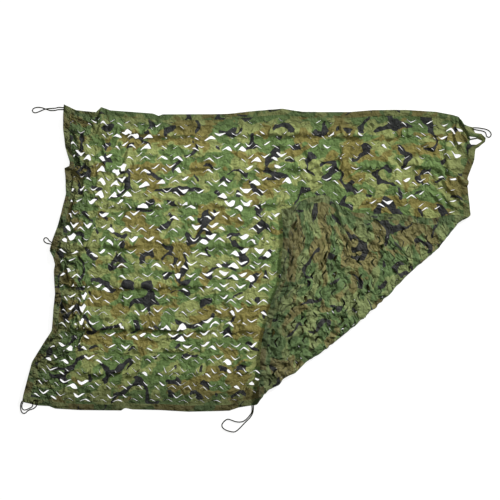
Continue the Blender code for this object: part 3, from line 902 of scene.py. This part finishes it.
def smooth_route(points):
    """Points CORD_STEP apart on a smooth curve through the route."""
    points = [points[0] * 2 - points[1], *points, points[-1] * 2 - points[-2]]
    fine = []
    for before, start, end, after in zip(points, points[1:], points[2:], points[3:]):
        slope = end - before
        turn = 2.0 * before - 5.0 * start + 4.0 * end - after
        twist = 3.0 * start - before - 3.0 * end + after
        for t in np.arange(CURVE_STEPS) / CURVE_STEPS:
            fine.append(0.5 * (2.0 * start + slope * t + turn * t**2 + twist * t**3))
    fine.append(points[-2])
    fine = np.array(fine)
    lengths = np.concatenate([[0.0], np.cumsum(np.linalg.norm(np.diff(fine, axis=0), axis=1))])
    steps = max(round(lengths[-1] / CORD_STEP), LEAST_STEPS)
    places = np.linspace(0.0, lengths[-1], steps + 1)
    return np.stack([np.interp(places, lengths, fine[:, axis]) for axis in range(3)], axis=-1)


def build_cord(name, route):
    """A cord along its route, and the place where it starts."""
    radius = CORD_DIAMETER / 2.0
    low = radius + CORD_CLEARANCE
    points = [np.array((x, y, low + rise), float) for x, y, rise in route]
    centres = smooth_route(points) * MM
    curve = bpy.data.curves.new(name + "_cord", "CURVE")
    curve.dimensions = "3D"
    curve.bevel_depth = radius * MM
    curve.bevel_resolution = 3
    curve.use_fill_caps = True
    spline = curve.splines.new("POLY")
    spline.points.add(len(centres) - 1)
    spline.points.foreach_set("co", np.c_[centres, np.ones(len(centres))].ravel())
    cord = bpy.data.objects.new(name + "_cord", curve)
    bpy.context.scene.collection.objects.link(cord)
    return cord, centres[0]


# ---- materials ----


class Paint:
    """A material's nodes, added from left to right."""

    def __init__(self, name):
        self.material = bpy.data.materials.new(name)
        self.material.use_nodes = True
        self.nodes = self.material.node_tree.nodes
        self.links = self.material.node_tree.links
        self.shader = self.nodes["Principled BSDF"]

    def put(self, socket, value):
        """Links or writes a value to a node's input."""
        if isinstance(value, bpy.types.NodeSocket):
            self.links.new(value, socket)
        else:
            socket.default_value = value

    def set(self, name, value):
        """Links or writes a value to the shader's input of this name."""
        self.put(self.shader.inputs[name], value)

    def add(self, kind, inputs=(), **settings):
        node = self.nodes.new(kind)
        for key, value in settings.items():
            setattr(node, key, value)
        for key, value in dict(inputs).items():
            self.put(node.inputs[key], value)
        return node

    def attribute(self, name, output):
        """What the mesh carries under this name."""
        return self.add("ShaderNodeAttribute", attribute_name=name).outputs[output]

    def math(self, operation, a, b=0.0, c=0.0):
        return self.add("ShaderNodeMath", {0: a, 1: b, 2: c}, operation=operation).outputs[0]

    def vector(self, operation, a, b):
        return self.add("ShaderNodeVectorMath", {0: a, 1: b}, operation=operation).outputs[0]

    def noise(self, vector, scale, detail=2.0, roughness=0.5, output="Fac"):
        inputs = {"Vector": vector, "Scale": scale, "Detail": detail, "Roughness": roughness}
        return self.add("ShaderNodeTexNoise", inputs).outputs[output]

    def waves(self, vector, scale, direction, distortion=0.0):
        inputs = {"Vector": vector, "Scale": scale, "Distortion": distortion}
        return self.add("ShaderNodeTexWave", inputs, bands_direction=direction).outputs["Fac"]

    def from_middle(self, value):
        """How far a noise is from its middle."""
        return self.math("ABSOLUTE", self.math("SUBTRACT", value, 0.5))

    def step(self, value, low, high):
        """0 at low, 1 at high and smooth between them."""
        inputs = {"Value": value, "From Min": low, "From Max": high}
        node = self.add("ShaderNodeMapRange", inputs, interpolation_type="SMOOTHSTEP")
        return node.outputs["Result"]

    def mix(self, share, a, b):
        """Two colours mixed. Sockets go by number, as each name stands for several of them."""
        node = self.add("ShaderNodeMix", data_type="RGBA")
        self.put(node.inputs[0], share)
        self.put(node.inputs[6], a)
        self.put(node.inputs[7], b)
        return node.outputs[2]

    def darkened(self, colour, mask, amount, dark=(0.0, 0.0, 0.0, 1.0)):
        """The colour, mixed with this amount of the dark one where the mask is 1."""
        return self.mix(self.math("MULTIPLY", mask, amount), colour, dark)

    def bump(self, height, distance, strength=1.0, normal=None):
        inputs = {"Height": height, "Distance": distance, "Strength": strength}
        if normal is not None:
            inputs["Normal"] = normal
        return self.add("ShaderNodeBump", inputs).outputs["Normal"]


def srgb(red, green, blue):
    """A colour given in 0 to 255 as the shader takes it."""
    values = np.array((red, green, blue)) / 255.0
    linear = np.where(values <= 0.04045, values / 12.92, ((values + 0.055) / 1.055) ** 2.4)
    return (*linear.tolist(), 1.0)


def print_colour(paint, flat, hem, look):
    """The woodland print. The hem shows another part of it, as it is turned cloth."""
    turned = paint.add("ShaderNodeCombineXYZ", {0: hem}).outputs[0]
    turned = paint.vector("MULTIPLY", turned, HEM_APART)
    place = paint.vector("ADD", flat, turned)
    wander = paint.noise(place, scale=12.0, output="Color")
    bent = paint.vector("ADD", place, paint.vector("MULTIPLY", wander, PRINT_BEND))
    wide = paint.vector("MULTIPLY", bent, PRINT_STRETCH)
    light = paint.noise(wide, scale=9.0, detail=2.0, roughness=0.45)
    brown = paint.vector("ADD", wide, BROWN_APART)
    brown = paint.noise(brown, scale=8.5, detail=2.5, roughness=0.45)
    ridge = paint.noise(paint.vector("ADD", bent, BLACK_APART), scale=9.0, detail=0.0)
    patch = paint.noise(paint.vector("ADD", place, PATCH_APART), scale=12.0, detail=0.0)
    stroke = paint.math("MULTIPLY", paint.step(patch, low=0.51, high=0.56), look["stroke"])
    stroke = paint.math("MULTIPLY", stroke, paint.math("MULTIPLY_ADD", hem, HEM_STROKE, 1.0))
    black = paint.math("SUBTRACT", stroke, paint.from_middle(ridge))
    light = paint.step(light, low=0.495, high=0.530)
    colour = paint.mix(light, srgb(*look["green"]), srgb(*look["light"]))
    colour = paint.mix(paint.step(brown, low=0.545, high=0.575), colour, srgb(*look["brown"]))
    return paint.mix(paint.step(black, low=0.0, high=0.008), colour, srgb(*look["black"]))


def colour_with_painted_shade(paint, colour, flat, edge, hem, look):
    """The print with darker clouds and hem, painted shade by its edges and cuts, and darker left
    and foot.
    """
    across, down, _ = paint.add("ShaderNodeSeparateXYZ", {0: flat}).outputs
    clouds = paint.noise(flat, scale=26.0, detail=4.0, roughness=0.6)
    colour = paint.darkened(colour, paint.step(clouds, low=0.3, high=0.7), look["shade"])
    colour = paint.darkened(colour, hem, HEM_SHADE, HEM_DARK)
    # Painted shade beside the cloth's edges, strongest at them and gone 170 mm in
    colour = paint.darkened(colour, paint.step(edge, low=0.17, high=0.0), look["rim"], EDGE_SHADE_COLOUR)
    # Darker towards the cloth's left side and its foot
    darker_left = paint.step(across, low=0.26, high=0.1)
    darker_foot = paint.step(down, low=1.3, high=1.45)
    colour = paint.darkened(colour, paint.math("MAXIMUM", darker_left, darker_foot), LEFT_AND_FOOT_DARKENING)
    # Painted shadow along the cut edges, shown in patches and stronger towards the left side
    at_cut = paint.step(paint.attribute("cut", "Fac"), low=0.8, high=0.96)
    shown = paint.step(paint.noise(flat, scale=16.0, detail=1.0), low=0.36, high=0.50)
    deep = paint.math("MAXIMUM", look["slit_shadow"], paint.step(across, low=0.24, high=0.1))
    return paint.darkened(colour, at_cut, paint.math("MULTIPLY", shown, deep), CUT_SHADOW_COLOUR)


def cloth_normal(paint, flat, look):
    """Weave, fine wrinkles and crumple, which is stronger beside the left hem."""
    warp_threads = paint.waves(flat, scale=300.0, direction="X")
    weft_threads = paint.waves(flat, scale=300.0, direction="Y")
    threads = paint.math("MAXIMUM", warp_threads, weft_threads)
    normal = paint.bump(threads, distance=0.0002, strength=0.4)
    fine = paint.noise(flat, scale=110.0, detail=3.0)
    normal = paint.bump(fine, distance=0.002, strength=0.6, normal=normal)
    pulled = paint.noise(flat, scale=14.0, detail=1.0, output="Color")
    pulled = paint.vector("ADD", flat, paint.vector("MULTIPLY", pulled, FACET_BEND))
    inputs = {"Vector": pulled, "Scale": 24.0}
    facets = paint.add("ShaderNodeTexVoronoi", inputs, distance="CHEBYCHEV").outputs["Distance"]
    across = paint.add("ShaderNodeSeparateXYZ", {0: flat}).outputs[0]
    beside = paint.math("MULTIPLY", paint.step(across, low=0.22, high=0.1), SIDE_CRUMPLE)
    rumpled = paint.math("ADD", beside, look["crumple"])
    normal = paint.bump(facets, distance=0.013, strength=rumpled, normal=normal)
    crossed = paint.noise(paint.vector("ADD", flat, CROSSED_APART), scale=look["grain"])
    crossed = paint.from_middle(crossed)
    return paint.bump(crossed, distance=0.022, strength=rumpled, normal=normal)


def cloth_material(name, look):
    """Printed woodland camouflage on a woven cloth, from its flat places in metres."""
    paint = Paint(name)
    flat = paint.attribute("flat", "Vector")
    edge = paint.attribute("edge", "Fac")
    hem = paint.step(edge, low=HEM_WIDTH * MM, high=(HEM_WIDTH - HEM_BLEND) * MM)
    colour = print_colour(paint, flat, hem, look)
    paint.set("Base Color", colour_with_painted_shade(paint, colour, flat, edge, hem, look))
    paint.set("Roughness", 0.8)
    paint.set("Sheen Weight", 0.1)
    paint.set("Sheen Roughness", 0.4)
    paint.set("Normal", cloth_normal(paint, flat, look))
    return paint.material


def cord_material():
    paint = Paint("braided_cord")
    place = paint.add("ShaderNodeTexCoord").outputs["Object"]
    strands = paint.waves(place, scale=260.0, direction="DIAGONAL", distortion=1.5)
    shade = paint.noise(place, scale=180.0, detail=3.0)
    paint.set("Base Color", paint.mix(shade, srgb(*CORD_DARK), srgb(*CORD_LIGHT)))
    paint.set("Roughness", 0.9)
    paint.set("Specular IOR Level", 0.1)
    paint.set("Normal", paint.bump(strands, distance=0.0006))
    return paint.material


# ---- assembly ----


def main():
    add_camera()
    braid = cord_material()
    for name, (length, route) in LOOPS.items():
        cord, start = build_cord(name, route)
        cord.data.materials.append(braid)
        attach(cord, "root")
        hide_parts(name)
    net = build_net()
    net.data.materials.append(cloth_material("printed_face", FACE))
    net.data.materials.append(cloth_material("printed_back", BACK))
    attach(net, "root")
    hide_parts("net")
    add_surroundings()


main()
